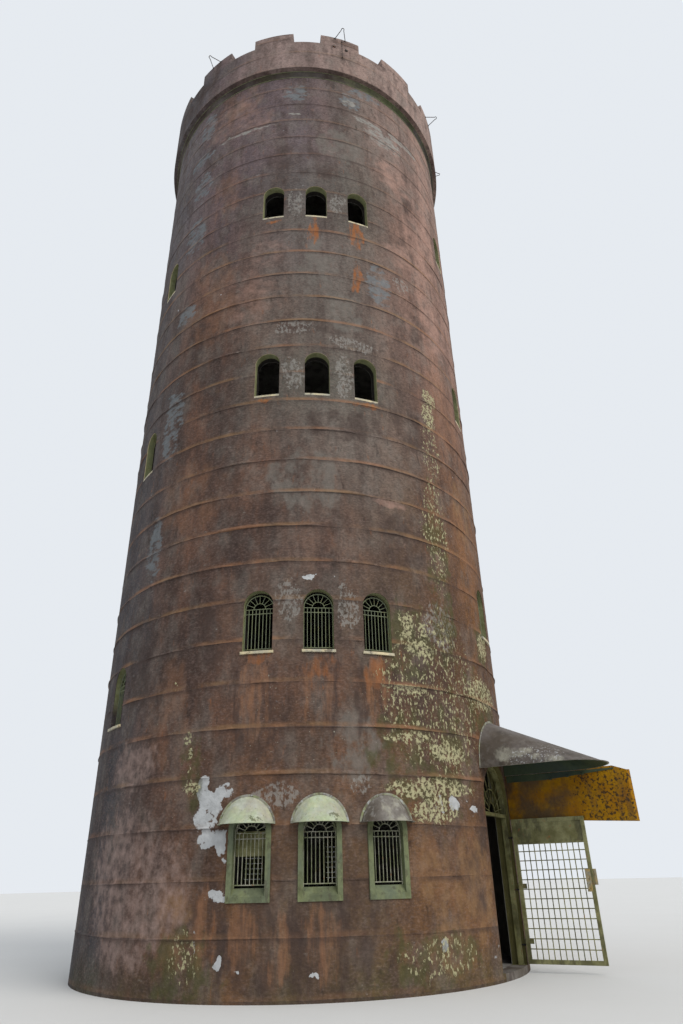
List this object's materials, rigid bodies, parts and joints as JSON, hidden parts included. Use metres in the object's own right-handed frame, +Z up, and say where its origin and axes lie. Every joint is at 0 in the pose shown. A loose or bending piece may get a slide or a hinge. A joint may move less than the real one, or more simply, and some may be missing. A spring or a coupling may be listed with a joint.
{
  "type": "round observation tower",
  "caption": "Tall round concrete observation tower with arched windows, a hooded and gated doorway, a cove and a battlemented lookout deck",
  "frame": {"origin": "Centre of the tower's underside at ground level, on the axis of the round wall", "axes": "+Z up along the tower, -Y out through the middle front windows' side, +X to the right of the front"},
  "size_m": [9.1409, 8.2304, 20.96],
  "materials": {
    "render": "Cast concrete with a weathered red-brown cement wash, rain streaks and lichen",
    "slab": "Plain grey cast concrete",
    "trim": "Cement trim with weathered pale green paint",
    "sill": "Cement sills with worn cream paint",
    "hood": "Sheet metal with weathered dark grey-brown paint",
    "awning": "Sheet metal with weathered pale green paint",
    "screen": "Ribless orange-yellow plastic sheet with dark mould specks",
    "gate_paint": "Steel bars with dull olive paint and rust at the joints",
    "ironwork": "Dark iron with light rust",
    "lock_metal": "Dull brass lock case and knobs"
  },
  "bodies": {
    "root": {"ground_floor": "slab", "door_step": "slab", "wall_1_front": "render", "wall_1_right": "render", "wall_1_back": "render", "wall_1_left": "render", "wall_over_door": "render", "floor_2": "slab", "wall_2_front": "render", "wall_2_right": "render", "wall_2_back": "render", "wall_2_left": "render", "floor_3": "slab", "wall_3_front": "render", "wall_3_right": "render", "wall_3_back": "render", "wall_3_left": "render", "floor_4": "slab", "wall_4_front": "render", "wall_4_right": "render", "wall_4_back": "render", "wall_4_left": "render", "deck": "slab", "cornice": "trim", "parapet_front": "render", "parapet_right": "render", "parapet_back": "render", "parapet_left": "render", "merlons": "render", "rod_hoops": "ironwork", "window_surrounds": "trim", "window_hoods_front": "awning", "window_hoods_back": "awning", "sills_2": "sill", "sills_3": "sill", "sills_4": "sill", "door_frame": "gate_paint", "transom_grille": "gate_paint", "entrance_hood": "hood", "side_screen": "screen", "gate_pintles": "ironwork"},
    "gate": {"gate_leaf": "gate_paint", "gate_sheet": "gate_paint", "gate_lock": "lock_metal"}
  },
  "joints": [
    {"name": "gate_hinge", "type": "hinge", "parent": "root", "child": "gate", "pos_m": [3.45499, -1.48079, 1.1], "axis": [0, 0, 1], "range_deg": [-93, 0]}
  ]
}
